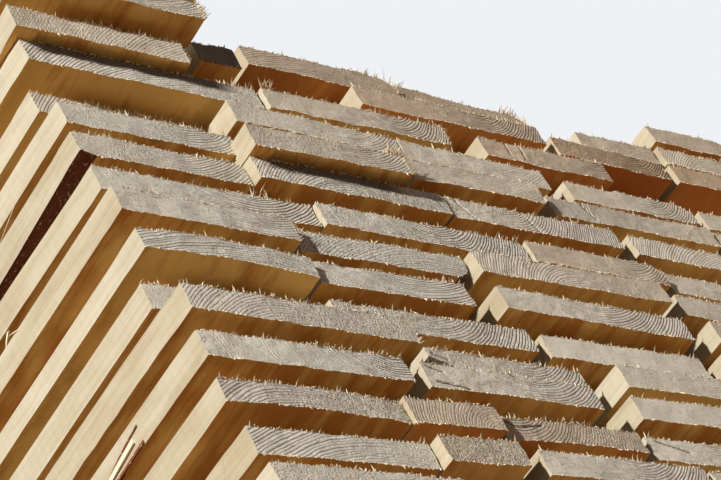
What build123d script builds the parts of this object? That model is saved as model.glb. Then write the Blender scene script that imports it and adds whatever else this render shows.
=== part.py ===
from build123d import *
import os
from random import Random

# A stack of rough-sawn boards, air-drying in layers with thin stickers between them, on square bearers.
# Lengths are in millimetres. The boards lie along Y with their near ends towards -Y, and the layers rise
# along Z.

# The stack
stack_width = 1200
layer_count = 38

# The boards
board_length = 4000
board_thickness = 25
filler_width = 186
filler_gap = 13
wane_depth = 10
wane_reach = 17
bark_strip_depth = 3
bark_strip_reach = 18
log_radius = 140

# The stickers between the layers
sticker_thickness = 14
sticker_width = 40
sticker_rows = 7
sticker_end_inset = 70
sticker_side_inset = 26

# The bearers under the stack
bearer_height = 100
bearer_width = 100
bearer_count = 5
bearer_end_inset = 150

layer_pitch = board_thickness + sticker_thickness

# What varies from board to board: how unevenly they are laid, how far their ends are out of line, their cup
EDGE_STEPS = (-5, -2, 0, 3, 8)
GAP_STEPS = (-7, -4, 0, 5, 8)
NEAR_END_STEPS = (3, 6, 11, 17, 23)
FAR_END_STEPS = (2, 9, 15, 24, 38)
NEAR_FRONTS = (-14, -8, -3, 0)
CUPS = (0, 0, 0, 0, 3, -3)

# Boards of the upper layers, from the left: gap before the board, its width, how far its near end is set back
# (minus where it stands out), and how much its section is cupped (minus where the middle is raised).
UPPER_LAYERS = {
    37: [(819, 176, 19, 0), (9, 186, 12, 0)],
    36: [(6, 188, -16, 0), (66, 177, 14, 0), (9, 172, 20, 0), (73, 110, 22, 0), (7, 190, 18, 0),
         (12, 182, 5, 0)],
    35: [(3, 171, 5, 0), (3, 43, -4, 0), (26, 108, 180, 0), (10, 232, 4, 0), (25, 161, 11, 0),
         (11, 190, 10, 0)],
    34: [(-3, 237, 7, 0), (5, 209, 2, 0), (47, 167, 3, 0), (28, 190, 220, 0), (12, 230, 190, 0)],
    33: [(3, 169, 29, 0), (8, 188, -2, 0), (3, 179, 0, 0), (35, 173, 5, 0), (19, 200, 8, 0)],
    32: [(1, 170, 5, 0), (7, 169, -10, 0), (5, 157, -10, 0), (22, 225, -1, 0)],
    31: [(-3, 166, 3, 0), (2, 210, -7, 0), (3, 212, -5, 0), (22, 190, -2, 0)],
    30: [(0, 215, 3, 0), (2, 234, -1, 0), (3, 173, -3, 0), (11, 190, 4, 0)],
    29: [(-6, 172, -10, 0), (6, 184, -1, 0), (4, 232, -12, 0), (28, 190, -2, 0)],
    28: [(-1, 167, -8, -4), (4, 164, -3, 0), (33, 232, -7, 0), (33, 190, -9, 0)],
    27: [(2, 168, 14, 0), (3, 213, 2, 0), (18, 199, 4, 0), (20, 190, -5, 0)],
    26: [(-3, 218, -23, 0), (35, 176, 4, 0), (33, 200, -9, 0)],
    25: [(-2, 194, -16, 0), (18, 189, -14, 0), (49, 190, -10, 0)],
    24: [(-1, 173, -10, -4), (2, 92, -13, 0), (7, 157, -6, -3), (14, 190, -2, 0)],
    23: [(14, 168, -3, 0), (3, 80, -15, 0), (26, 190, -10, 0)],
    22: [(12, 180, -9, 0), (9, 196, 6, 0)],
}

# Waney boards, by layer and place from the left, with the corners of the section that the log's round side
# cuts: how far it reaches across the board and how deep it goes.
WANE = (wane_reach, wane_depth)
BARK_STRIP = (bark_strip_reach, bark_strip_depth)
WANEY_BOARDS = {
    (36, 1): {"high right": WANE},
    (36, 2): {"high right": WANE},
    (33, 3): {"high right": WANE},
    (31, 0): {"low left": BARK_STRIP},
    (30, 2): {"high right": WANE},
    (29, 1): {"low right": WANE},
    (24, 2): {"high right": WANE},
    (19, 3): {"high left": WANE, "high right": WANE},
    (14, 0): {"high left": WANE},
    (11, 5): {"high right": WANE},
    (6, 2): {"high right": WANE},
}


def board_chance(layer, place):
    """The random choices of one board, which don't change with the boards beside it."""
    return Random(f"layer {layer}, board {place}")


def leading_place(layer):
    """The place in the layer of the board whose ends stand out furthest."""
    return Random(layer).randrange(4)


def given_boards(layer):
    """The listed boards of a layer that fit in the stack's width."""
    boards = []
    reach = 0
    for gap, width, setback, cup in UPPER_LAYERS.get(layer, []):
        reach += gap + width
        if reach > stack_width:
            break
        boards.append((gap, width, setback, cup))
    return boards


def layer_boards(layer):
    """The boards of one layer as gap, width, setback and cup, out to the far side of the stack."""
    boards = given_boards(layer)
    if boards and layer == layer_count - 1:
        return boards
    room = stack_width - sum(gap + width for gap, width, _, _ in boards)
    count = round(room / (filler_width + filler_gap))
    if count == 0:
        gap, width, setback, cup = boards.pop()
        return boards + [(gap, width + room, setback, cup)]
    front = min([setback for _, _, setback, _ in boards] or [Random(layer).choice(NEAR_FRONTS)])
    for place in range(len(boards), len(boards) + count):
        chance = board_chance(layer, place)
        gap = filler_gap + chance.choice(GAP_STEPS) if place else chance.choice(EDGE_STEPS)
        setback = front + chance.choice(NEAR_END_STEPS) * (place != leading_place(layer))
        boards.append((gap, room / count - gap, setback, chance.choice(CUPS)))
    return boards


def cupped_section(width, cup):
    """A section whose edges stand higher than its middle, or lower where the cup is minus."""
    thickness = board_thickness - abs(cup)
    edge = max(cup, 0)
    middle = max(-cup, 0)
    low = ThreePointArc((0, edge), (width / 2, middle), (width, edge))
    right = Line((width, edge), (width, edge + thickness))
    high = ThreePointArc((width, edge + thickness), (width / 2, middle + thickness), (0, edge + thickness))
    left = Line((0, edge + thickness), (0, edge))
    return make_face([low, right, high, left])


def wane(corner, reach, depth, width):
    """What the log's round side leaves out of the section at one corner."""
    round_side = RadiusArc((reach, 0), (0, depth), log_radius)
    cut = make_face([Line((0, 0), (reach, 0)), round_side, Line((0, depth), (0, 0))])
    height, side = corner.split()
    if height == "high":
        cut = Pos(0, board_thickness) * mirror(cut, about=Plane.XZ)
    if side == "right":
        cut = Pos(width, 0) * mirror(cut, about=Plane.YZ)
    return cut


def board_section(width, cup, corners):
    """The board's section, with its lower left corner at the origin."""
    if cup:
        return cupped_section(width, cup)
    section = Rectangle(width, board_thickness, align=(Align.MIN, Align.MIN))
    for corner, (reach, depth) in corners.items():
        section -= wane(corner, reach, depth, width)
    return section


def layer_solids(layer):
    """All boards of one layer, side by side."""
    bottom = bearer_height + layer * layer_pitch
    left = 0
    solids = []
    for place, (gap, width, setback, cup) in enumerate(layer_boards(layer)):
        left += gap
        short = board_chance(layer, place).choice(FAR_END_STEPS) * (place != leading_place(layer))
        section = board_section(width, cup, WANEY_BOARDS.get((layer, place), {}))
        upright = Plane(origin=(left, setback, bottom), x_dir=(1, 0, 0), z_dir=(0, -1, 0))
        solids.append(extrude(upright * section, amount=setback + short - board_length))
        left += width
    return solids


def block(left, near, bottom, width, depth, height):
    """A squared timber with its lower near left corner at the given place."""
    return Pos(left, near, bottom) * Box(width, depth, height, align=(Align.MIN, Align.MIN, Align.MIN))


def sticker_row(row):
    """The stickers at one place along the boards, one on each layer but the top one."""
    span = board_length - 2 * sticker_end_inset - sticker_width
    near = sticker_end_inset + row * span / (sticker_rows - 1)
    solids = []
    for layer in range(layer_count - 1):
        first_gap = layer_boards(layer + 1)[0][0]
        left = max(0, first_gap) + sticker_side_inset
        bottom = bearer_height + layer * layer_pitch + board_thickness
        length = stack_width - sticker_side_inset - left
        solids.append(block(left, near, bottom, length, sticker_width, sticker_thickness))
    return solids


def bearer(number):
    """One square bearer across the stack."""
    span = board_length - 2 * bearer_end_inset - bearer_width
    near = bearer_end_inset + number * span / (bearer_count - 1)
    return [block(0, near, 0, stack_width, bearer_width, bearer_height)]


pieces = {f"board_layer_{layer + 1:02d}": layer_solids(layer) for layer in range(layer_count)}
pieces |= {f"sticker_row_{row + 1}": sticker_row(row) for row in range(sticker_rows)}
pieces |= {f"bearer_{number + 1}": bearer(number) for number in range(bearer_count)}

# The origin is under the middle of the whole stack, at the level of the floor.
whole = Compound([solid for solids in pieces.values() for solid in solids]).bounding_box()
to_origin = Pos(-whole.center().X, -whole.center().Y, 0)

os.makedirs("parts", exist_ok=True)
for name, solids in pieces.items():
    export_step(Compound([to_origin * solid for solid in solids]), f"parts/{name}.step")
print(len(pieces), "sub-parts,", sum(len(solids) for solids in pieces.values()), "solids")
print("shift to origin", to_origin.position)
print("size", whole.size)
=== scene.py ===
from random import Random

import bpy
import numpy as np
from mathutils import Matrix, Vector


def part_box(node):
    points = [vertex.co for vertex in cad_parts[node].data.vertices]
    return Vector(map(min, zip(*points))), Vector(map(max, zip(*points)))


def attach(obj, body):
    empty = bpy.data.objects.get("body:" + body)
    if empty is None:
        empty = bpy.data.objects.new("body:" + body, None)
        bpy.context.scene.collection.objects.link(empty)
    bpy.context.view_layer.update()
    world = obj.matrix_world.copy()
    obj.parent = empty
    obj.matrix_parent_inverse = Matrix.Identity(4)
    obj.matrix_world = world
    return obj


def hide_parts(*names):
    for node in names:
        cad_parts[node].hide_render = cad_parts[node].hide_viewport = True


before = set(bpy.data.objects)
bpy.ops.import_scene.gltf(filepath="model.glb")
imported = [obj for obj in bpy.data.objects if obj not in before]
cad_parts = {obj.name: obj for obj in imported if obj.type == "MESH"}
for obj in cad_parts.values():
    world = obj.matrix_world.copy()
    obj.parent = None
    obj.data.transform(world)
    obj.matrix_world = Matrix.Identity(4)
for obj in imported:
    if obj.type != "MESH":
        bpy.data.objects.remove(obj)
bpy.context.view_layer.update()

# A stack of rough-sawn boards, air-drying in layers on thin stickers and square bearers. Lengths are in
# metres unless a name ends in _mm. In the tables, (37, 0) is the board furthest left in board_layer_37.
# Shares run from 0 at a board's left or underside to 1 at its right or top.

mm = 0.001

# Points of the frame this near each other are at one place, spans this near each other belong to one
# solid, and a section that departs less than this from a rectangle is one.
SAME_PLACE = mm / 20
SAME_SOLID = mm / 10
LEAST_BEND = mm / 2

# The layers that the picture shows are modelled finely at their near ends, the ones below them plainly.
FIRST_FINE_LAYER = 22
PLAIN_FUZZ = 0.25

# The grid over a near end: its usual step, a smaller one where there are splits or rings bolder than
# BOLD_RINGS, and a large one for the plain layers.
FINE_STEP = 2.0 * mm
BOLD_STEP = 1.3 * mm
PLAIN_STEP = 9.0 * mm
BOLD_RINGS = 0.75

# The faces behind the end: their step across a board, which is smaller where it is waney, their step along
# it, and how many there are across at least.
COARSE_STEP = 24.0 * mm
WANEY_STEP = 15.5 * mm
STATION_STEP = 0.42
LEAST_STEPS_ACROSS = 5

# Sections of a fine board: close behind its near end, further back, and densely on the side that shows.
# Every board has sections along its length as well, up to STATION_CLEARANCE from its far end.
END_STATIONS = (1.5 * mm, 6 * mm, 18 * mm)
NEAR_STATIONS = (0.05, 0.11, 0.18, 0.27)
SIDE_STATIONS = tuple(0.03 + 0.016 * n for n in range(38))
STATION_CLEARANCE = 0.1

# How rough the near ends are: out of square, in broad and in small waves, from point to point, and along
# the upper and lower edges. BROAD_WAVES are counted across and up the end, and a small wave takes
# SMALL_WAVE_STEPS of the grid.
SKEW = 2.5 * mm
BROAD_RELIEF = 0.8 * mm
BROAD_WAVES = (9, 2)
SMALL_RELIEF = 0.5 * mm
SMALL_WAVE_STEPS = (6, 3)
GRIT = 0.16 * mm
RAGGED_TOP = (-0.6 * mm, 0.9 * mm)
RAGGED_FOOT = (-0.5 * mm, 0.5 * mm)

# How far the edges stray behind the end, and the faces along the board.
EDGE_STRAY = 0.12 * mm
FACE_DRIFT = 0.7 * mm
DRIFT_TURNS = 7

# How rough the left sides are, and the board whose side was sawn most roughly. The side and its lower and
# upper edges stray by these shares of the roughness.
SIDE_ROUGHNESS = 0.12 * mm
ROUGHEST_SIDE = 0.6 * mm
ROUGH_SIDE = (27, 0)
SIDE_STRAY = (-0.6, 0.6)
LOW_EDGE_STRAY = (-0.5, 2.4)
HIGH_EDGE_STRAY = (0.0, 1.0)

# Boards whose near ends bend up by these lengths, or hang down where they are minus. Those that hang lie
# on the board below and reach out a little to the left and front, so that they throw shadows on the end
# below them.
BENT = {(37, 0): -14 * mm, (36, 0): -14 * mm, (33, 1): -14 * mm, (36, 1): 11 * mm}
BENT_LENGTH = 0.35
BENT_WAY = np.array((1.05, 0.742, 1.0))

# The ends below a hanging board get a painted shadow where the board above casts its shadow on them: from
# one share of the width to another, and above a share of the thickness. The fades are the shares over which
# the painted shadow begins, ends and rises.
SHADOWED_ENDS = {(36, 1): (-0.2, 1.2, -0.4), (35, 0): (-0.02, 1.0, 0.42), (32, 1): (0.0, 0.85, 0.42)}
PAINTED_SHADE_STRENGTH = 0.66
SHADOW_FADES = (0.1, 0.15, 0.2)

# Two undersides and one left side get painted shade as well, where they lie in shade by the hanging boards,
# to these depths behind the end. The painted shade beneath starts SHADE_START behind the end and at the
# share BENEATH_FROM of the width, and deepens over SHADE_FADE.
# The one on the side ends at the share LEFT_SIDE_TO. What is below the height UNDERSIDE is beneath.
SHADED_UNDERSIDES = ((36, 0), (33, 1))
SHADED_LEFT_SIDE = (36, 1)
SHADE_START = 2 * mm
SHADE_FADE = 8 * mm
BENEATH_DEPTH = 0.06
BENEATH_FROM = 0.04
LEFT_SIDE_DEPTH = 0.1
LEFT_SIDE_TO = 0.02
UNDERSIDE = 2 * mm

# Left edges that run out of line behind the near end: the upper (1) or lower (0) edge, and how far they
# are out from CROOK_LENGTH on.
CROOKED = {(31, 0): [(1, -4.0 * mm), (0, -3.0 * mm)], (32, 0): [(0, 5.0 * mm)]}
CROOK_LENGTH = 0.14

# How much of the log's round side the bark still covers, and the power that gives that side its curve.
BARK_SHARE = 0.85
ROUND_POWER = 1.2

# The kinds of surface, each with a material of its own.
END, FACE, UNDER, BARK, FIBRE = range(5)

# Slivers that lift from the left sides: their kind of surface, how far back and at which share of the
# thickness they stand, their length, the radius of their section, and the way they point. The dark ones
# on (26, 0) are dark splinters put in the slits above and below a pale one: painted shade.
SLIVERS = {
    (33, 0): [(FIBRE, 0.085, 0.05, 0.052, 0.5 * mm, (-0.05, 1.0, -0.38))],
    (31, 0): [(FIBRE, 0.150, 0.10, 0.020, 1.9 * mm, (-0.1, 0.75, -0.8))],
    (30, 0): [(FIBRE, 0.150, 0.97, 0.012, 0.6 * mm, (-0.15, 1.0, 0.35))],
    (26, 0): [(BARK, 0.100, 0.66, 0.085, 1.5 * mm, (0.02, 1.0, -0.12)),
              (FIBRE, 0.110, 0.38, 0.090, 3.4 * mm, (0.0, 1.0, -0.12)),
              (BARK, 0.100, 0.08, 0.080, 2.2 * mm, (0.0, 1.0, -0.04))],
    (24, 0): [(BARK, 0.035, 0.75, 0.03, 0.5 * mm, (0.0, 0.6, -1.0))],
}

# Splits in the ends: from one place to another, each as a share of the width and of the thickness. Their
# grooves are cut in and darkened with painted shade.
SPLITS = {
    (35, 2): [(0.215, 1.0, 0.21, 0.35), (0.32, 1.0, 0.31, 0.2)],
    (33, 3): [(0.20, 1.0, 0.26, 0.0)],
    (32, 2): [(0.06, 1.0, 0.13, 0.0), (0.44, 1.0, 0.50, 0.0)],
    (27, 1): [(0.03, 0.8, 0.12, 0.6)],
    (26, 1): [(0.03, 0.9, 0.12, 0.7), (0.05, 0.25, 0.22, 0.1)],
    (25, 2): [(0.0, 0.95, 0.14, 0.6), (0.14, 0.6, 0.30, 0.75)],
    (25, 3): [(0.07, 0.9, 0.25, 0.5)],
}
SPLIT_WIDTH = 0.9 * mm
SPLIT_DEPTH = 1.5 * mm

# The short fuzz of torn fibres on every end: the row of the grid that it stands on, the fibres' spacing,
# the longest one, and whether they point up or down.
FUZZ = (
    (-1, 2.2 * mm, 2.0 * mm, 1),
    (-1, 14.0 * mm, 6.0 * mm, 1),
    (0, 4.0 * mm, 1.6 * mm, -1),
    (0, 40.0 * mm, 4.0 * mm, -1),
)

# Where the picture shows more or longer torn fibres on an upper edge: from one share of the width to
# another, how many, and the longest.
FRINGES = {
    (37, 0): [(0.80, 1.0, 44, 13 * mm), (0.92, 1.0, 36, 8 * mm)],
    (37, 1): [(0.80, 1.0, 16, 9 * mm), (0.955, 0.975, 2, 18 * mm)],
    (37, 2): [(0.80, 1.0, 30, 11 * mm)],
    (36, 0): [(0.30, 0.98, 26, 7 * mm)],
    (36, 3): [(0.6, 1.0, 12, 6 * mm)],
    (35, 0): [(0.84, 1.0, 16, 8 * mm)],
    (35, 1): [(0.0, 0.06, 20, 12 * mm), (0.5, 1.0, 14, 6 * mm)],
    (34, 0): [(0.35, 0.9, 16, 5 * mm)],
    (34, 1): [(0.7, 1.0, 14, 6 * mm)],
    (33, 0): [(0.2, 0.95, 18, 6 * mm)],
    (33, 1): [(0.90, 1.0, 30, 15 * mm)],
    (32, 0): [(0.0, 0.5, 12, 6 * mm)],
    (31, 0): [(0.64, 0.80, 9, 16 * mm), (0.1, 1.0, 14, 6 * mm)],
    (31, 1): [(0.85, 1.0, 12, 8 * mm)],
    (29, 1): [(0.85, 1.0, 12, 8 * mm)],
    (27, 0): [(0.05, 1.0, 30, 6 * mm)],
    (27, 1): [(0.2, 1.0, 20, 6 * mm)],
    (26, 0): [(0.55, 1.0, 26, 6 * mm)],
    (26, 1): [(0.0, 0.9, 18, 6 * mm)],
    (25, 0): [(0.0, 1.0, 20, 5 * mm)],
    (25, 2): [(0.0, 1.0, 18, 6 * mm)],
    (24, 1): [(0.0, 1.0, 10, 5 * mm)],
}

# Torn fibres on the right edges of ends: how many, and the longest. They point less upward and more
# sideways than the others.
RIGHT_FRINGES = {
    (37, 0): [(40, 9 * mm)],
    (37, 1): [(3, 22 * mm), (14, 7 * mm)],
    (36, 0): [(14, 4 * mm)],
    (35, 1): [(16, 6 * mm)],
    (33, 1): [(24, 8 * mm)],
    (30, 0): [(14, 5 * mm)],
    (28, 0): [(16, 6 * mm)],
    (27, 0): [(16, 6 * mm)],
}
RIGHT_FRINGE_UPWARD = 0.6
RIGHT_FRINGE_SIDEWAYS = 0.7

# How torn fibres stand: how near a corner their roots may be, how far the roots stray, how far they lean
# right, back and up, each with its spread, the shortest as a share of the longest, and their radii.
CORNER_SHARE = 0.004
ROOT_STRAY = 0.8 * mm
SIDE_LEAN = (0.02, 0.34)
BACK_LEAN = (-0.55, 0.35)
UP_LEAN = (0.75, 0.15)
SHORTEST_SHARE = 0.3
FIBRE_RADII = (0.36 * mm, 0.66 * mm)

# How the annual rings lie in the ends of the boards that the picture shows: the pith's place in
# millimetres from the board's lower left corner, how bold the rings are at its left and right, how pored
# the wood is at its left and right, and how warm its colour is.
RINGS = {
    (38, 0): (90, 140, .2, .2, .2, .2, .6), (38, 1): (60, 150, .2, .2, .2, .2, .6),
    (37, 0): (120, 120, .2, .6, .3, .3, .2), (37, 1): (90, -200, .7, .5, .1, .2, .8),
    (37, 2): (90, 160, .2, .2, .3, .3, .8), (37, 3): (70, 160, .2, .2, .2, .2, .6),
    (37, 4): (90, -50, .5, .2, .1, .2, .5),
    (36, 0): (260, -150, .1, .5, .4, .1, .4), (36, 1): (50, 90, .2, .2, .2, .2, .7),
    (36, 3): (150, 60, .2, .9, .2, .1, .8), (36, 4): (110, 60, .3, 1.0, .6, .4, 1.0),
    (36, 5): (90, 130, .2, .2, .2, .2, .9),
    (35, 0): (195, -173, 1.0, .25, 0, .8, 0), (35, 1): (150, 45, .4, .8, .2, .1, .5),
    (35, 2): (150, 60, .1, .8, .2, .1, .75), (35, 3): (90, 90, .2, .2, .2, .2, .4),
    (34, 0): (110, -60, .9, .5, 0, .2, .5), (34, 1): (120, 80, .1, .4, .2, .2, .2),
    (34, 2): (80, 140, .1, .2, .1, .1, .2), (34, 3): (115, 50, .2, .7, .2, .1, .4),
    (34, 4): (90, 90, .2, .3, .2, .2, .4),
    (33, 0): (120, 70, .2, .7, .4, .2, 0), (33, 1): (110, 90, .2, .7, .6, .1, .4),
    (33, 2): (90, 120, .5, .1, .1, .2, .4), (33, 3): (-60, 10, 1.0, 0, .1, .2, .4),
    (33, 4): (90, 90, .2, .3, .2, .2, .4),
    (32, 0): (90, 100, .2, .6, .3, .2, .1), (32, 1): (100, -60, 1.0, .5, .5, 1.0, 0),
    (32, 2): (70, 55, .1, .9, .4, 0, .2), (32, 3): (150, -80, .7, .3, .1, .1, .4),
    (31, 0): (150, 92, .3, 1.0, .2, 0, 0), (31, 1): (130, 60, .8, 1.0, .5, .2, 0),
    (31, 2): (130, 60, .1, .7, .2, .1, .6), (31, 3): (90, 90, .1, .4, .2, .2, .3),
    (30, 0): (140, 120, .1, .6, .1, .1, 0), (30, 1): (150, -150, .6, .6, 1.0, .6, 0),
    (30, 2): (120, -35, 1.0, .05, 0, .2, .5), (30, 3): (90, 90, .2, .3, .2, .2, .3),
    (29, 0): (110, -260, 1.0, .5, .1, .6, 0), (29, 1): (110, 120, .5, .7, .2, .1, 0),
    (29, 2): (120, 90, .1, .8, .1, 0, .1), (29, 3): (90, 90, .2, .3, .2, .2, .6),
    (28, 0): (90, 100, .1, .2, .1, .1, 0), (28, 1): (100, 80, .1, .9, 1.0, .1, .1),
    (28, 2): (200, 100, .3, .2, .1, .1, 0),
    (27, 0): (100, -80, .7, .2, .2, .8, .2), (27, 1): (110, 70, .1, .9, .7, .1, .2),
    (27, 2): (90, 150, .1, .2, .2, .2, .2),
    (26, 0): (185, 70, .1, 1.0, .1, .3, 0), (26, 1): (120, 90, .1, .7, .2, .1, .1),
    (26, 2): (150, 80, .1, .6, .1, .1, .1),
    (25, 0): (75, -90, 1.0, .1, .1, 1.0, .3), (25, 1): (90, -10, .6, .4, .3, .6, .75),
    (25, 2): (20, 60, .7, .2, .1, .8, .7), (25, 3): (90, 60, .3, .7, .1, .1, .1),
    (24, 0): (130, -190, 1.0, .2, .0, .5, .1), (24, 1): (60, 90, .1, .1, 1.0, 1.0, .6),
    (24, 2): (110, 70, .1, .8, .2, .1, .1),
    (23, 0): (90, 150, .1, .2, .5, .5, .1),
}
UNSEEN_PITHS_MM = ((60, 70), (110, -60), (95, 120), (150, -140), (30, -90), (80, 45))

# How far along the log a board's grain is shifted at most, besides a metre for each layer, so that no two
# boards look alike.
GRAIN_SHIFT = 3.7

# Colours of the sawn ends: cool grey and warm brown wood, each from its darkest to its palest, and their
# marks.
COOL_WOOD = ((0.72, 0.69, 0.58, 1), (0.92, 0.895, 0.79, 1))
BROWN_WOOD = ((0.45, 0.30, 0.18, 1), (0.65, 0.475, 0.315, 1))
BLEACHED_WOOD = (0.95, 0.92, 0.84, 1)
RING_LINE = (0.09, 0.058, 0.035, 1)
DARK_STREAK = (0.20, 0.145, 0.095, 1)
TORN_WOOD = (0.16, 0.115, 0.075, 1)
PORE = (0.12, 0.085, 0.055, 1)
PALE_FLECK = (0.97, 0.94, 0.86, 1)
# The last colour is painted shade for the splits and painted shadow for the ends below hanging boards.
PAINTED_SHADE_END = (0.03, 0.02, 0.012, 1)

# How dark the wood is through one year's growth, at shares of the year. The first two stops are its start
# and end.
YEAR = ((0.0, 0.1), (1.0, 0.1), (0.08, 0.0), (0.52, 0.0), (0.82, 1.0), (0.93, 1.0))

# Colours of the sawn faces: pale, deep, red, and the knots. Places in shade by the hanging boards get a
# painted shade colour.
FACE_COLOURS = ((0.58, 0.53, 0.41, 1), (0.44, 0.365, 0.245, 1), (0.52, 0.43, 0.30, 1),
                (0.30, 0.16, 0.07, 1))
# The undersides' saturated orange is partly painted light: it stands in for warm light bounced into the
# shade beneath the boards, over the wood's own colour.
UNDER_COLOURS = ((1.0, 0.63, 0.21, 1), (0.68, 0.29, 0.06, 1), (0.88, 0.29, 0.07, 1),
                 (0.20, 0.07, 0.02, 1))
WEATHERED_COLOURS = ((0.36, 0.27, 0.19, 1), (0.19, 0.13, 0.085, 1), (0.24, 0.16, 0.10, 1),
                     (0.06, 0.035, 0.02, 1))
# Painted shade for the undersides and the side in shade by the hanging boards.
PAINTED_SHADE_FACE = (0.05, 0.025, 0.01, 1)

# Colours of the bark, of the flakes that have come off it, and of the torn fibres.
BARK_COLOURS = ((0.09, 0.028, 0.012, 1), (0.30, 0.10, 0.042, 1))
BARE_FLAKE = (0.60, 0.45, 0.30, 1)
FIBRE_COLOURS = ((0.78, 0.64, 0.42, 1), (0.95, 0.90, 0.74, 1))

# The camera stands low before the stack's near left corner and looks up at it. Its place is measured from
# the corner of layer CORNER_LAYER, at the line that the near ends are laid to, BEARER_END_INSET before the
# first bearer. VIEW_RIGHT and VIEW_DOWN are the picture's right and down.
CORNER_LAYER = 30
BEARER_END_INSET = 0.150
EYE_FROM_CORNER = Vector((-1.0169, -0.8929, -1.1764))
VIEW_RIGHT = Vector((0.75242, -0.51994, -0.40439))
VIEW_DOWN = Vector((0.13503, 0.72265, -0.67790))
LENS_MM = 121.5
SENSOR_MM = 36.0

# The sky and the floor: the light that they give the stack, and the colour that is seen.
SKY_LIGHT = (0.05, 0.06, 0.08, 1)
SKY_SEEN = (0.86, 0.88, 0.91, 1)
FLOOR_LIGHT = (0.23, 0.125, 0.05, 1)
FLOOR_SEEN = (0.80, 0.79, 0.77, 1)
FLOOR_REACH = 160.0

# Stickers and bearers: their worn edges as a share of the smaller side, how far their faces stray, the
# step between their sections, the pith's place from their corner, and warmth, boldness, poredness and
# tone.
CHAMFER_SHARE = 0.07
TIMBER_STRAY = 0.4 * mm
TIMBER_STEP = 0.12
TIMBER_PITH = (0.03, -0.08)
TIMBER_LOOK = (0.6, 0.3, 0.4, 0.0)

# Edges between faces that meet at more than this many radians are crisp, and all surfaces are dull.
SHARP_ANGLE = 0.7
SPECULAR_LEVEL = 0.25


def placed(name, data):
    """An object with this data, in the scene."""
    made = bpy.data.objects.new(name, data)
    bpy.context.scene.collection.objects.link(made)
    return made


def unseen_rings(chance):
    """Rings for a board that the picture doesn't show."""
    pith_x, pith_z = chance.choice(UNSEEN_PITHS_MM)
    bold = chance.uniform(.1, .8)
    pored = chance.uniform(0, .6)
    return (pith_x + chance.uniform(-20, 20), pith_z, bold, 1 - bold, pored, .3, chance.uniform(0, .8))


def solids_apart(node, axis):
    """The points of each solid of a node, told apart by the gaps between them along an axis."""
    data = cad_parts[node].data
    points = np.array([vertex.co for vertex in data.vertices])
    spans = [points[list(face.vertices), axis] for face in data.polygons]
    merged = []
    for low, high in sorted((span.min(), span.max()) for span in spans):
        if merged and low < merged[-1][1] + SAME_SOLID:
            merged[-1][1] = max(merged[-1][1], high)
        else:
            merged.append([low, high])
    places = points[:, axis]
    return [points[(places > low - SAME_SOLID) & (places < high + SAME_SOLID)] for low, high in merged]


class Board:
    """One board as the frame holds it: its box, the cup of its section and the corners that it lacks."""

    def __init__(self, layer, place, points):
        self.key = (layer, place)
        self.low, self.high = points.min(0), points.max(0)
        self.size = self.high - self.low
        self.chance = Random(100 * layer + place)
        self.cup = 0.0
        self.wanes = []
        x, z = points[:, 0], points[:, 2]
        # Only a cupped section has points near the middle of its width.
        if (np.abs(x - (self.low[0] + self.high[0]) / 2) < self.size[0] / 4).any():
            edge = np.abs(x - self.low[0]) < SAME_PLACE
            raised = z[edge].min() - self.low[2]
            self.cup = raised if raised > LEAST_BEND else z[edge].max() - self.high[2]
            return
        for side in (0, 1):
            for height in (0, 1):
                across = np.abs(x - (self.low, self.high)[side][0])
                up = np.abs(z - (self.low, self.high)[height][2])
                depth = up[across < SAME_PLACE].min()
                if depth > LEAST_BEND:
                    self.wanes.append((side, height, across[up < SAME_PLACE].min(), depth))

    def profile(self, share):
        """The heights of the lower and upper faces above the box's floor, at shares of the width."""
        bow = (2 * share - 1) ** 2
        lower = np.zeros_like(share) + (self.cup * bow if self.cup > 0 else -self.cup * (1 - bow))
        upper = lower + self.size[2] - abs(self.cup)
        for side, height, reach, depth in self.wanes:
            across = share * self.size[0] if side == 0 else (1 - share) * self.size[0]
            lost = depth * np.clip(1 - across / reach, 0, 1) ** ROUND_POWER
            if height:
                upper = upper - lost
            else:
                lower = lower + lost
        return lower, upper

    def section(self, share, rise):
        """How far right and up, from the box's corner, the places at these shares of the section are."""
        lower, upper = self.profile(share)
        return share * self.size[0], lower + rise * (upper - lower)

    def on_bark(self, share, height):
        """Whether a place on the lower (0) or upper (1) face has bark on it, near a waney corner."""
        for side, where, reach, _ in self.wanes:
            across = (share if side == 0 else 1 - share) * self.size[0]
            if where == height and across < BARK_SHARE * reach:
                return True
        return False

    def end_step(self):
        """The step of the grid over the near end."""
        if self.key[0] < FIRST_FINE_LAYER:
            return PLAIN_STEP
        if self.key not in RINGS:
            return FINE_STEP
        _, _, bold_left, bold_right, _, _, _ = RINGS[self.key]
        if max(bold_left, bold_right) > BOLD_RINGS or self.key in SPLITS:
            return BOLD_STEP
        return FINE_STEP


class Piece:
    """The points, faces and surface values of one mesh."""

    def __init__(self):
        self.points, self.faces, self.kinds = [], [], []
        self.grain, self.look, self.dark = [], [], []
        self.count = 0

    def add(self, points, faces, kinds, grain, look, dark=None):
        """Adds points with their faces; a face's kind is the number of its material."""
        self.points.append(points)
        self.faces += [[i + self.count for i in face] for face in faces]
        self.kinds += kinds
        self.grain.append(grain)
        self.look.append(look)
        self.dark.append(np.zeros(len(points)) if dark is None else dark)
        self.count += len(points)

    def finish(self, name, materials):
        """The mesh as an object."""
        data = bpy.data.meshes.new(name)
        data.from_pydata(np.concatenate(self.points).tolist(), [], self.faces)
        for material in materials:
            data.materials.append(material)
        data.polygons.foreach_set("material_index", self.kinds)
        grain = data.attributes.new("grain", "FLOAT_VECTOR", "POINT")
        grain.data.foreach_set("vector", np.concatenate(self.grain).astype(np.float32).ravel())
        look = data.attributes.new("look", "FLOAT_COLOR", "POINT")
        look.data.foreach_set("color", np.concatenate(self.look).astype(np.float32).ravel())
        dark = data.attributes.new("dark", "FLOAT", "POINT")
        dark.data.foreach_set("value", np.concatenate(self.dark).astype(np.float32))
        data.shade_smooth()
        data.set_sharp_from_angle(angle=SHARP_ANGLE)
        data.update()
        return placed(name, data)


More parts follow.
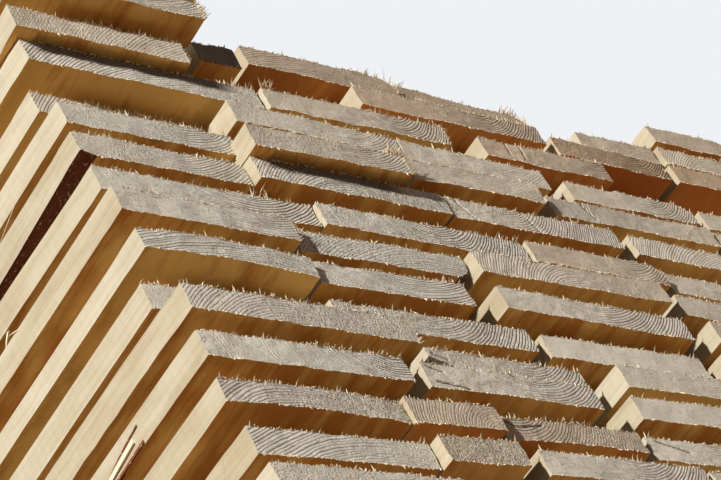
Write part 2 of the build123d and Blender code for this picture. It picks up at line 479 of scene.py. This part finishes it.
class Skin:
    """The points and faces of one board while they are laid, from the near end to the far one."""

    def __init__(self, near):
        self.points = [near.reshape(-1, 3)]
        self.count = near.shape[0] * near.shape[1]
        self.faces, self.kinds = [], []
        for i in range(near.shape[0] - 1):
            for j in range(near.shape[1] - 1):
                a = i * near.shape[1] + j
                b = a + near.shape[1]
                self.face([a, b, b + 1, a + 1], END)

    def face(self, corners, kind):
        self.faces.append(corners)
        self.kinds.append(kind)

    def ring(self, x, y, z):
        """The next section's points. Gives their numbers."""
        self.points.append(np.stack([x, y, z], -1))
        self.count += len(x)
        return list(range(self.count - len(x), self.count))

    def wall(self, last, ring, kinds):
        """Faces from one section to the next, which has as many points."""
        for n in range(len(ring)):
            m = (n + 1) % len(ring)
            self.face([last[n], ring[n], ring[m], last[m]], kinds[n])

    def fan(self, last, ring, keep, kinds):
        """Faces from a fine section to a coarse one, whose points are behind those kept of the fine one."""
        for n, start in enumerate(keep):
            m = (n + 1) % len(keep)
            stop = keep[m] if keep[m] > start else keep[m] + len(last)
            fine = [last[k % len(last)] for k in range(start, stop + 1)]
            half = len(fine) // 2
            for k in range(len(fine) - 1):
                self.face([ring[n] if k < half else ring[m], fine[k + 1], fine[k]], kinds[n])
            self.face([ring[n], ring[m], fine[half]], kinds[n])

    def cap(self, last, coarse):
        """The plain far end, of as many strips as the coarse section has steps across."""
        for n in range(coarse):
            top = 2 * coarse - n
            self.face([last[n], last[top + 1], last[top], last[n + 1]], END)


def smooth_noise(share, count, chance):
    """A soft random curve through count values from -1 to 1, at shares from 0 to 1."""
    values = np.array([chance.uniform(-1, 1) for _ in range(count)])
    place = share * (count - 1)
    first = np.clip(place.astype(int), 0, count - 2)
    part = place - first
    part = part * part * (3 - 2 * part)
    return values[first] * (1 - part) + values[first + 1] * part


def rough_field(share, rise, scale_x, scale_z, chance):
    """Soft random relief over the end face, from -1 to 1."""
    seed = np.random.default_rng(chance.randrange(10 ** 6))
    grid = seed.uniform(-1, 1, (scale_x + 2, scale_z + 2))
    gx, gz = share * scale_x, rise * scale_z
    ix, iz = gx.astype(int), gz.astype(int)
    fx, fz = gx - ix, gz - iz
    low = grid[ix, iz] * (1 - fx) + grid[ix + 1, iz] * fx
    high = grid[ix, iz + 1] * (1 - fx) + grid[ix + 1, iz + 1] * fx
    return low * (1 - fz) + high * fz


def distance_to(split, share, rise, size):
    """How far each place on the end is from a straight split."""
    start = np.array((split[0] * size[0], split[1] * size[2]))
    along = np.array((split[2] * size[0], split[3] * size[2])) - start
    x, z = share * size[0] - start[0], rise * size[2] - start[1]
    part = np.clip((x * along[0] + z * along[1]) / (along @ along), 0, 1)
    return np.hypot(x - part * along[0], z - part * along[1])


def perimeter(board, across, up):
    """The outline of a grid of across by up cells, in order, and the kind of face behind each step."""
    outline = [(i, 0) for i in range(across)] + [(across, j) for j in range(up)]
    outline += [(i, up) for i in range(across, 0, -1)] + [(0, j) for j in range(up, 0, -1)]
    under = [BARK if board.on_bark((i + 0.5) / across, 0) else UNDER for i in range(across)]
    top = [BARK if board.on_bark((i - 0.5) / across, 1) else FACE for i in range(across, 0, -1)]
    return np.array(outline), under + [FACE] * up + top + [FACE] * up


# The grooves also set how much painted shade the splits get.
def split_grooves(board, share, rise):
    """How far into a split each place on the end is, from 0 to 1."""
    groove = np.zeros_like(share)
    for split in SPLITS.get(board.key, ()):
        away = distance_to(split, share, rise, board.size)
        groove = np.maximum(groove, np.exp(-(away / SPLIT_WIDTH) ** 2))
    return groove


def near_end(board, share, rise, groove, skew, edge_scale, jitter):
    """The places of the near end's grid, with its relief, splits and ragged edges."""
    small_x = max(4, (share.shape[0] - 1) // SMALL_WAVE_STEPS[0])
    small_z = max(2, (share.shape[1] - 1) // SMALL_WAVE_STEPS[1])
    relief = rough_field(share, rise, *BROAD_WAVES, board.chance) * BROAD_RELIEF
    relief += rough_field(share, rise, small_x, small_z, board.chance) * SMALL_RELIEF
    relief += jitter.uniform(-1, 1, share.shape) * GRIT
    ragged = (rise == 1) * jitter.uniform(*RAGGED_TOP, share.shape)
    ragged += (rise == 0) * jitter.uniform(*RAGGED_FOOT, share.shape)
    x, z = board.section(share, rise)
    y = skew * (share - 0.5) - relief + SPLIT_DEPTH * groove
    return np.stack([x, y, z + ragged * edge_scale], -1)


def section_shift(board, share, low_half, station, rough, drift, jitter):
    """How far a section's points stray sideways and upward, more so on a rough left side."""
    sideways = np.where(share < 0.5, drift[0], drift[1])
    upward = np.where(low_half, drift[2], drift[3])
    if not rough:
        return sideways, upward
    roughness = ROUGHEST_SIDE if board.key == ROUGH_SIDE else SIDE_ROUGHNESS
    low = (share == 0) & low_half
    high = (share == 0) & ~low_half
    sideways = sideways + (share == 0) * jitter.uniform(*SIDE_STRAY) * roughness
    for height, shift in CROOKED.get(board.key, ()):
        sideways = sideways + (high if height else low) * shift * min(1, station / CROOK_LENGTH)
    upward = upward + low * jitter.uniform(*LOW_EDGE_STRAY) * roughness
    return sideways, upward - high * jitter.uniform(*HIGH_EDGE_STRAY) * roughness


def surface_look(board, part):
    """Where the pith lies from the board's corner, and the look at shares of the width."""
    rings = RINGS.get(board.key) or unseen_rings(board.chance)
    pith_x, pith_z, bold_left, bold_right, pored_left, pored_right, warm = rings
    pith = np.array([pith_x * mm, -GRAIN_SHIFT * board.chance.random() - board.key[0], pith_z * mm])
    bold = bold_left * (1 - part) + bold_right * part
    pored = pored_left * (1 - part) + pored_right * part
    tone = board.chance.random()
    return pith, np.stack([np.full(len(part), warm), bold, pored, np.full(len(part), tone)], -1)


def painted_shade(board, share, rise, groove, part, places):
    """How much painted shade the splits get, and painted shadow the ends below hanging boards, from 0 to 1.
    """
    end = groove
    if board.key in SHADOWED_ENDS:
        start, stop, above = SHADOWED_ENDS[board.key]
        fade_in, fade_out, fade_up = SHADOW_FADES
        inside = np.clip((share - start) / fade_in, 0, 1) * np.clip((stop - share) / fade_out, 0, 1)
        end = np.maximum(end, PAINTED_SHADE_STRENGTH * np.clip((rise - above) / fade_up, 0, 1) * inside)
    dark = np.zeros(len(places))
    dark[:end.size] = end.ravel()
    back, height = places[:, 1], places[:, 2]
    if board.key in SHADED_UNDERSIDES:
        deep = np.clip((back - SHADE_START) / SHADE_FADE, 0, 1) * (back < BENEATH_DEPTH)
        low = (height < UNDERSIDE) & (part > BENEATH_FROM)
        dark = np.maximum(dark, PAINTED_SHADE_STRENGTH * deep * low)
    if board.key == SHADED_LEFT_SIDE:
        dark = np.maximum(dark, PAINTED_SHADE_STRENGTH * (part < LEFT_SIDE_TO) * (back < LEFT_SIDE_DEPTH))
    return dark


def board_skin(board, near, skew, fine, coarse, jitter):
    """The near end with its sections behind it, close at first and further apart along the board."""
    across, up = near.shape[0] - 1, near.shape[1] - 1
    length = board.size[1]
    skin = Skin(near)
    outline, kinds = perimeter(board, across, up)
    share = np.linspace(0, 1, across + 1)[outline[:, 0]]
    rise = np.linspace(0, 1, up + 1)[outline[:, 1]]
    x, z = board.section(share, rise)
    last = list(outline[:, 0] * (up + 1) + outline[:, 1])
    for station in END_STATIONS if fine else END_STATIONS[1:2]:
        stray = jitter.uniform(-1, 1, (len(x), 2)) * EDGE_STRAY
        ring = skin.ring(x + stray[:, 0], np.full(len(x), station), z + stray[:, 1])
        skin.wall(last, ring, kinds)
        last = ring

    keep = [n for n, (i, j) in enumerate(outline) if j in (0, up) and i % (across // coarse) == 0]
    share, x, z = share[keep], x[keep], z[keep]
    low_half = z < board.size[2] / 2
    kinds = [kinds[n] for n in keep]
    stations = list(np.arange(STATION_STEP, length - STATION_CLEARANCE, STATION_STEP))
    if fine:
        stations = sorted(stations + list(SIDE_STATIONS if board.key[1] == 0 else NEAR_STATIONS))
    stations.append(length)
    along = np.array(stations) / length
    drift = np.array([smooth_noise(along, DRIFT_TURNS, board.chance) * FACE_DRIFT for _ in range(4)])
    for number, station in enumerate(stations):
        far_end = station == length
        rough = fine and not far_end
        sideways, upward = section_shift(board, share, low_half, station, rough, drift[:, number], jitter)
        y = station + skew * (share - 0.5) * far_end
        ring = skin.ring(x + sideways, y, z + upward)
        if number == 0:
            skin.fan(last, ring, keep, kinds)
        else:
            skin.wall(last, ring, kinds)
        last = ring
    skin.cap(last, coarse)
    return skin


def board_mesh(piece, board, step):
    """Adds one board, with a rough near end and a plain far one, and gives the near end's grid."""
    width, _, thickness = board.size
    coarse = max(LEAST_STEPS_ACROSS, round(width / (WANEY_STEP if board.wanes else COARSE_STEP)))
    across = coarse * max(1, round(width / coarse / step))
    up = max(2, round(thickness / step))
    share, rise = np.meshgrid(np.linspace(0, 1, across + 1), np.linspace(0, 1, up + 1), indexing="ij")
    groove = split_grooves(board, share, rise)
    skew = board.chance.uniform(-SKEW, SKEW)
    jitter = np.random.default_rng(board.chance.randrange(10 ** 6))
    near = near_end(board, share, rise, groove, skew, min(1, step / FINE_STEP), jitter)
    skin = board_skin(board, near, skew, step < PLAIN_STEP, coarse, jitter)

    straight = np.concatenate(skin.points)
    points = straight
    if board.key in BENT:
        shift = BENT[board.key] * BENT_WAY
        points = straight + np.clip(1 - straight[:, [1]] / BENT_LENGTH, 0, 1) ** 2 * shift
        near = near + shift
    part = np.clip(points[:, 0] / width, 0, 1)
    pith, look = surface_look(board, part)
    dark = painted_shade(board, share, rise, groove, part, straight)
    piece.add(points + board.low, skin.faces, skin.kinds, straight - pith, look, dark)
    return near + board.low


def slivers(piece, board):
    """The slivers on the board's left side, as straight single fibres."""
    for kind, back, rise, length, radius, lean in SLIVERS.get(board.key, ()):
        root = board.low + (0.0, back, rise * board.size[2])
        fibre_mesh(piece, [root], [lean], [length], [radius], kind, 0.0)


def fibre_mesh(piece, roots, leans, lengths, radii, kind=FIBRE, bow=0.18):
    """Torn fibres as thin bent splinters of three sides, rooted a little way in the wood."""
    roots, leans, lengths, radii = np.array(roots), np.array(leans), np.array(lengths), np.array(radii)
    leans = leans / np.linalg.norm(leans, axis=1)[:, None]
    across = np.cross(leans, (0.0, 0.0, 1.0))
    across /= np.linalg.norm(across, axis=1)[:, None] + 1e-9
    other = np.cross(leans, across)
    # Three points round the root, three halfway along, and the tip.
    points = []
    turns = [(np.cos(a), np.sin(a)) for a in (0.3, 2.4, 4.5)]
    for share, thick, bend in ((-0.12, 1.0, 0.0), (0.5, 0.85, bow / 4)):
        centre = roots + (leans + other * bend) * (lengths * share)[:, None]
        for c, s in turns:
            points.append(centre + (across * c + other * s) * (radii * thick)[:, None])
    tip = roots + (leans + other * bow) * lengths[:, None]
    points = np.stack(points + [tip], 1)
    faces = []
    for start in range(0, 7 * len(roots), 7):
        faces.append([start, start + 2, start + 1])
        for k in range(3):
            m = (k + 1) % 3
            faces.append([start + k, start + m, start + 3 + m, start + 3 + k])
            faces.append([start + 3 + k, start + 3 + m, start + 6])
    flat = points.reshape(-1, 3)
    piece.add(flat, faces, [kind] * len(faces), flat, np.zeros((len(flat), 4)))


def fringe(piece, edge, places, longest, upward, chance, sideways=SIDE_LEAN[0]):
    """Fibres along an edge of the end, at shares of its length."""
    roots, leans, lengths, radii = [], [], [], []
    for share in places:
        share = min(max(share, CORNER_SHARE), 1 - CORNER_SHARE)
        root = edge[round(share * (len(edge) - 1))]
        roots.append(root + (chance.uniform(-ROOT_STRAY, ROOT_STRAY), 0, 0))
        to_side = chance.gauss(sideways, SIDE_LEAN[1])
        to_back = chance.gauss(*BACK_LEAN)
        leans.append((to_side, to_back, upward * chance.gauss(*UP_LEAN)))
        length_share = SHORTEST_SHARE + (1 - SHORTEST_SHARE) * chance.random() ** 1.6
        lengths.append(length_share * longest)
        radii.append(chance.uniform(*FIBRE_RADII))
    if roots:
        fibre_mesh(piece, roots, leans, lengths, radii)


def edge_fibres(piece, board, near, fuzz):
    """Fibres that the saw tore at an end's edges: a short fuzz everywhere and longer ones in places."""
    chance = board.chance
    width = near[-1, 0, 0] - near[0, 0, 0]
    for row, spacing, longest, upward in FUZZ:
        places = [chance.random() for _ in range(int(width / spacing * fuzz))]
        fringe(piece, near[:, row], places, longest, upward, chance)
    for start, stop, count, longest in FRINGES.get(board.key, ()):
        places = [chance.uniform(start, stop) for _ in range(count)]
        fringe(piece, near[:, -1], places, longest, 1, chance)
    for count, longest in RIGHT_FRINGES.get(board.key, ()):
        places = [chance.random() for _ in range(count)]
        fringe(piece, near[-1, :], places, longest, RIGHT_FRINGE_UPWARD, chance, RIGHT_FRINGE_SIDEWAYS)


class Shader:
    """A material and short ways to add its nodes."""

    def __init__(self, name, roughness):
        self.material = bpy.data.materials.new(name)
        self.material.use_nodes = True
        self.tree = self.material.node_tree
        self.surface = self.tree.nodes["Principled BSDF"]
        self.surface.inputs["Roughness"].default_value = roughness
        self.surface.inputs["Specular IOR Level"].default_value = SPECULAR_LEVEL

    def node(self, kind, values, **settings):
        """A new node of this kind, with its settings, and its sockets linked or set by name or number."""
        made = self.tree.nodes.new("ShaderNode" + kind)
        for key, value in settings.items():
            setattr(made, key, value)
        for key, value in values.items():
            if isinstance(value, bpy.types.NodeSocket):
                self.tree.links.new(value, made.inputs[key])
            else:
                made.inputs[key].default_value = value
        return made

    def math(self, operation, *values):
        return self.node("Math", dict(enumerate(values)), operation=operation).outputs[0]

    def plus(self, first, second):
        return self.math("ADD", first, second)

    def times(self, first, second):
        return self.math("MULTIPLY", first, second)

    def weighted(self, *terms):
        """The sum of values, each times its weight."""
        products = [self.times(value, weight) for value, weight in terms]
        total = products[0]
        for product in products[1:]:
            total = self.plus(total, product)
        return total

    def value_range(self, value, low, high, to_low=0.0, to_high=1.0):
        """The value carried from one range to another, and held to its ends."""
        values = {0: value, 1: low, 2: high, 3: to_low, 4: to_high}
        return self.node("MapRange", values).outputs[0]

    def mix(self, factor, first, second):
        """The first colour where the factor is 0, the second where it is 1."""
        return self.node("Mix", {0: factor, 6: first, 7: second}, data_type="RGBA").outputs[2]

    def scaled(self, vector, scale):
        return self.node("VectorMath", {0: vector, 1: scale}, operation="MULTIPLY").outputs[0]

    def noise(self, vector, scale, detail=2.0, roughness=0.5):
        """Soft noise round 0.5."""
        values = {"Vector": vector, "Scale": scale, "Detail": detail, "Roughness": roughness}
        return self.node("TexNoise", values).outputs[0]

    def grain(self):
        """The place in the log, from its pith."""
        return self.node("Attribute", {}, attribute_name="grain").outputs["Vector"]

    def look(self):
        """Warmth, boldness of the rings, poredness and tone."""
        source = self.node("Attribute", {}, attribute_name="look")
        split = self.node("SeparateColor", {0: source.outputs["Color"]})
        return split.outputs[0], split.outputs[1], split.outputs[2], source.outputs["Alpha"]

    def dark(self):
        """How much painted shade a split gets, or painted shadow a place by a hanging board."""
        return self.node("Attribute", {}, attribute_name="dark").outputs["Fac"]

    def paint(self, colour, height, distance):
        """The material with this colour, and with bumps as high as distance where height is 1."""
        self.tree.links.new(colour, self.surface.inputs["Base Color"])
        bump = self.node("Bump", {"Height": height, "Distance": distance, "Strength": 1.0})
        self.tree.links.new(bump.outputs[0], self.surface.inputs["Normal"])
        return self.material

    def ramp(self, value, stops):
        """Grey levels at places from 0 to 1. The first two stops are the ends."""
        made = self.node("ValToRGB", {0: value})
        elements = made.color_ramp.elements
        for number, (place, level) in enumerate(stops):
            element = elements[number] if number < 2 else elements.new(place)
            element.position = place
            element.color = (level, level, level, 1)
        return made.outputs[0]

    def rings(self, grain, spacing, wobble):
        """The annual rings round the pith: each year the wood darkens and ends at a sharp line."""
        flat = self.scaled(grain, (1.0, 0.0, 1.0))
        radius = self.node("VectorMath", {0: flat}, operation="LENGTH").outputs["Value"]
        drift = self.noise(grain, 18.0)
        finer = self.noise(grain, 160.0)
        year_ring = self.node("CombineXYZ", {0: radius, 1: self.times(drift, 0.01)}).outputs[0]
        uneven = self.noise(year_ring, 110.0)
        stray = self.weighted((drift, wobble), (finer, wobble * 0.22), (uneven, 1.6))
        years = self.plus(self.math("DIVIDE", radius, spacing), stray)
        strong = self.value_range(self.noise(year_ring, 170.0), 0.36, 0.60, 0.5, 1.0)
        return self.times(self.ramp(self.math("FRACT", years), YEAR), strong)


def sawn_end():
    """Sawn ends: annual rings, torn streaks and pores, greyed by the weather."""
    shader = Shader("sawn_end", 0.9)
    grain = shader.grain()
    warm, bold, pored, _ = shader.look()
    ring = shader.rings(grain, 2.7 * mm, 1.7)
    upright = shader.noise(shader.scaled(grain, (850.0, 60.0, 200.0)), 1.0, 2.0, 0.6)
    streaks = shader.noise(shader.scaled(grain, (170.0, 60.0, 700.0)), 1.0, 3.0, 0.6)
    speckle = shader.noise(shader.scaled(grain, (760.0, 60.0, 760.0)), 1.0, 2.0, 0.7)
    patches = shader.noise(grain, 26.0, 3.0)
    rough = shader.plus(shader.times(pored, 0.8), 0.2)
    broken = shader.value_range(speckle, 0.32, 0.50, 0.35, 1.0)
    line = shader.times(shader.times(ring, bold), broken)
    cells = shader.node("TexVoronoi", {"Vector": shader.scaled(grain, (1.0, 0.05, 1.0)), "Scale": 430.0})
    hole = shader.times(shader.value_range(cells.outputs["Distance"], 0.12, 0.42, 1.0, 0.0), pored)

    colour = shader.mix(warm, shader.mix(patches, *COOL_WOOD), shader.mix(patches, *BROWN_WOOD))
    bleached = shader.times(bold, shader.value_range(warm, 0.3, 1.0, 0.6, 0.0))
    colour = shader.mix(bleached, colour, BLEACHED_WOOD)
    colour = shader.mix(shader.times(line, 0.95), colour, RING_LINE)
    colour = shader.mix(shader.times(shader.value_range(streaks, 0.44, 0.28), 0.6), colour, DARK_STREAK)
    colour = shader.mix(shader.times(shader.value_range(upright, 0.42, 0.28), rough), colour, TORN_WOOD)
    colour = shader.mix(shader.times(hole, 0.8), colour, PORE)
    colour = shader.mix(shader.times(shader.value_range(speckle, 0.54, 0.66), rough), colour, PALE_FLECK)
    # Painted shade in the splits and painted shadow on the ends below hanging boards.
    colour = shader.mix(shader.value_range(shader.dark(), 0.25, 0.8), colour, PAINTED_SHADE_END)

    relief = shader.times(shader.weighted((speckle, 0.8), (upright, 0.8), (streaks, 0.8)), rough)
    height = shader.plus(relief, shader.weighted((line, -0.75), (hole, -0.35)))
    return shader.paint(colour, height, 2.2 * mm)


def long_grain(name, colours, spread=0.2, streak=0.35, mottle=0.25, own=0.22, knots=1.0):
    """Sawn faces along the board: soft grain, faint saw marks and a few knots."""
    pale, deep, red, knot = colours
    shader = Shader(name, 0.75)
    grain = shader.grain()
    warm, _, _, tone = shader.look()
    wave = shader.rings(grain, 6.2 * mm, 1.2)
    fibres = shader.noise(shader.scaled(grain, (420.0, 5.0, 420.0)), 1.0, 3.0, 0.6)
    clouds = shader.noise(shader.scaled(grain, (16.0, 3.0, 16.0)), 1.0, 3.0)
    blotches = shader.noise(shader.scaled(grain, (60.0, 22.0, 60.0)), 1.0, 3.0)
    mixed = shader.weighted((fibres, streak), (wave, 0.10), (clouds, 0.55), (blotches, mottle), (tone, own))
    middle = 0.29 + (streak + mottle + own) / 2
    colour = shader.mix(shader.value_range(mixed, middle - spread, middle + spread), pale, deep)
    colour = shader.mix(shader.value_range(warm, 0.55, 1.0), colour, red)
    cells = shader.node("TexVoronoi", {"Vector": shader.scaled(grain, (10.0, 5.0, 10.0)), "Scale": 1.0})
    spot = shader.plus(cells.outputs["Distance"], shader.times(blotches, 0.10))
    colour = shader.mix(shader.times(shader.value_range(spot, 0.10, 0.15, 1.0, 0.0), knots), colour, knot)
    # Painted shade on the undersides and the left side in shade by hanging boards.
    colour = shader.mix(shader.value_range(shader.dark(), 0.0, 0.8), colour, PAINTED_SHADE_FACE)
    saw_marks = {"Vector": grain, "Scale": 34.0, "Distortion": 1.5, "Detail": 2.0}
    saw = shader.node("TexWave", saw_marks, bands_direction="Y").outputs["Fac"]
    return shader.paint(colour, shader.weighted((fibres, 0.6), (saw, 0.2)), 0.6 * mm)


def bark():
    """The log's round side, with dark bark left on it."""
    shader = Shader("bark", 0.95)
    grain = shader.grain()
    lumps = shader.noise(shader.scaled(grain, (160.0, 30.0, 160.0)), 1.0, 4.0, 0.65)
    flakes = shader.noise(shader.scaled(grain, (500.0, 240.0, 500.0)), 1.0, 2.0)
    colour = shader.mix(lumps, *BARK_COLOURS)
    colour = shader.mix(shader.value_range(flakes, 0.62, 0.70), colour, BARE_FLAKE)
    return shader.paint(colour, shader.plus(lumps, shader.times(flakes, 0.4)), 3.0 * mm)


def fibre():
    """Torn fibres, paler than the wood that they stand on."""
    shader = Shader("torn_fibre", 0.8)
    patches = shader.noise(shader.grain(), 180.0)
    return shader.paint(shader.mix(patches, *FIBRE_COLOURS), patches, 0.2 * mm)


def camera():
    """The camera, turned so that its axes are the picture's right, up and back."""
    data = bpy.data.cameras.new("camera")
    data.lens = LENS_MM
    data.sensor_width = SENSOR_MM
    data.clip_start = 0.05
    bearer_low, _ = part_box("bearer_1")
    layer_low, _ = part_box(f"board_layer_{CORNER_LAYER:02d}")
    corner = Vector((bearer_low.x, bearer_low.y - BEARER_END_INSET, layer_low.z))
    back = VIEW_RIGHT.cross(-VIEW_DOWN)
    turn = Matrix((VIEW_RIGHT, -VIEW_DOWN, back)).transposed()
    made = placed("camera", data)
    made.matrix_world = Matrix.Translation(corner + EYE_FROM_CORNER) @ turn.to_4x4()
    bpy.context.scene.camera = made


def sun(name, strength, travel, angle, colour):
    """A distant lamp whose light travels in the given direction."""
    data = bpy.data.lights.new(name, "SUN")
    data.energy = strength
    data.angle = angle
    data.color = colour
    lamp = placed(name, data)
    lamp.rotation_mode = "QUATERNION"
    lamp.rotation_quaternion = Vector(travel).to_track_quat("-Z", "Y")


def seen_mix(tree, unseen, seen):
    """One colour for the light that falls on things, another for what the camera, gloss and glass see."""
    path = tree.nodes.new("ShaderNodeLightPath")
    total = path.outputs["Is Camera Ray"]
    for name in ("Is Glossy Ray", "Is Transmission Ray"):
        larger = tree.nodes.new("ShaderNodeMath")
        larger.operation = "MAXIMUM"
        tree.links.new(total, larger.inputs[0])
        tree.links.new(path.outputs[name], larger.inputs[1])
        total = larger.outputs[0]
    mix = tree.nodes.new("ShaderNodeMix")
    mix.data_type = "RGBA"
    tree.links.new(total, mix.inputs[0])
    mix.inputs[6].default_value = unseen
    mix.inputs[7].default_value = seen
    return mix.outputs[2]


def lights():
    """A low key light from the left, a fill from the far side, and even light all round."""
    sun("key", strength=4.6, travel=(0.906, 0.340, -0.249), angle=0.03, colour=(1.0, 0.965, 0.90))
    sun("fill", strength=2.4, travel=(-0.50, -0.60, -0.62), angle=0.3, colour=(1.0, 1.0, 1.0))
    world = bpy.data.worlds.new("studio")
    bpy.context.scene.world = world
    world.use_nodes = True
    tree = world.node_tree
    sky = seen_mix(tree, SKY_LIGHT, SKY_SEEN)
    tree.links.new(sky, tree.nodes["Background"].inputs["Color"])


def wide_floor():
    """A wide pale floor."""
    data = bpy.data.meshes.new("floor")
    corners = [(x * FLOOR_REACH, y * FLOOR_REACH, 0) for x, y in ((-1, -1), (1, -1), (1, 1), (-1, 1))]
    data.from_pydata(corners, [], [(0, 1, 2, 3)])
    floor = placed("floor", data)
    shader = Shader("pale_floor", 0.95)
    pale = seen_mix(shader.tree, FLOOR_LIGHT, FLOOR_SEEN)
    shader.tree.links.new(pale, shader.surface.inputs["Base Color"])
    data.materials.append(shader.material)


def timber(piece, low, high, chance):
    """One squared timber along X with chamfered, slightly wandering edges."""
    length, across, up = high - low
    chamfer = min(across, up) * CHAMFER_SHARE
    loop = [(chamfer, 0), (across - chamfer, 0), (across, chamfer), (across, up - chamfer),
            (across - chamfer, up), (chamfer, up), (0, up - chamfer), (0, chamfer)]
    stations = [0.0, *np.arange(0.09, length - 0.05, TIMBER_STEP), length]
    points, faces, kinds = [], [], []
    for number, station in enumerate(stations):
        for y, z in loop:
            stray = [chance.uniform(-TIMBER_STRAY, TIMBER_STRAY) for _ in range(3)]
            points.append((station + stray[0], y + stray[1], z + max(0, stray[2]) * (0 < number)))
        if number:
            start = (number - 1) * 8
            for n in range(8):
                m = (n + 1) % 8
                faces.append([start + n, start + m, start + 8 + m, start + 8 + n])
                kinds.append(FACE)
    faces.append([7, 6, 5, 4, 3, 2, 1, 0])
    faces.append([len(points) - 8 + n for n in range(8)])
    kinds += [END, END]
    points = np.array(points)
    # The grain runs along X here, so x and y change places.
    grain = points[:, [1, 0, 2]] - (TIMBER_PITH[0], chance.uniform(0, 50), TIMBER_PITH[1])
    look = np.tile(TIMBER_LOOK, (len(points), 1))
    piece.add(points + low, faces, kinds, grain, look)


def timber_piece(name, node, materials, split_axis):
    """The timbers of one node, which lie across the stack one beside or above the other."""
    piece = Piece()
    for number, points in enumerate(solids_apart(node, split_axis)):
        timber(piece, points.min(0), points.max(0), Random(f"{node} {number}"))
    made = piece.finish(name, materials)
    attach(made, "root")
    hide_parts(node)


def layer_piece(node, materials):
    """The boards of one layer, with their torn fibres and slivers."""
    layer = int(node[-2:])
    fuzz = 1.0 if layer >= FIRST_FINE_LAYER else PLAIN_FUZZ
    piece = Piece()
    for place, points in enumerate(solids_apart(node, 0)):
        board = Board(layer, place, points)
        near = board_mesh(piece, board, board.end_step())
        slivers(piece, board)
        edge_fibres(piece, board, near, fuzz)
    made = piece.finish(f"boards_{layer:02d}", materials)
    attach(made, "root")
    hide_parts(node)


def nodes_named(start):
    """The nodes whose names start in this way, in order."""
    return sorted(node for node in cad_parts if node.startswith(start))


camera()
lights()
wide_floor()

sawn_face = long_grain("sawn_face", FACE_COLOURS, spread=0.18, mottle=0.5, knots=0.7)
# The underside colours are partly painted warm bounce light.
sawn_underside = long_grain("sawn_underside", UNDER_COLOURS, spread=0.15, streak=0.16, mottle=0.9, own=0.35)
weathered_face = long_grain("weathered_face", WEATHERED_COLOURS)
board_materials = [sawn_end(), sawn_face, sawn_underside, bark(), fibre()]
timber_materials = [weathered_face, weathered_face]

for node in nodes_named("board_layer_"):
    layer_piece(node, board_materials)
for node in nodes_named("bearer_"):
    timber_piece("timber_" + node, node, timber_materials, 1)
for node in nodes_named("sticker_row_"):
    timber_piece("laths_" + node, node, timber_materials, 2)

bpy.context.scene.view_settings.view_transform = "Standard"
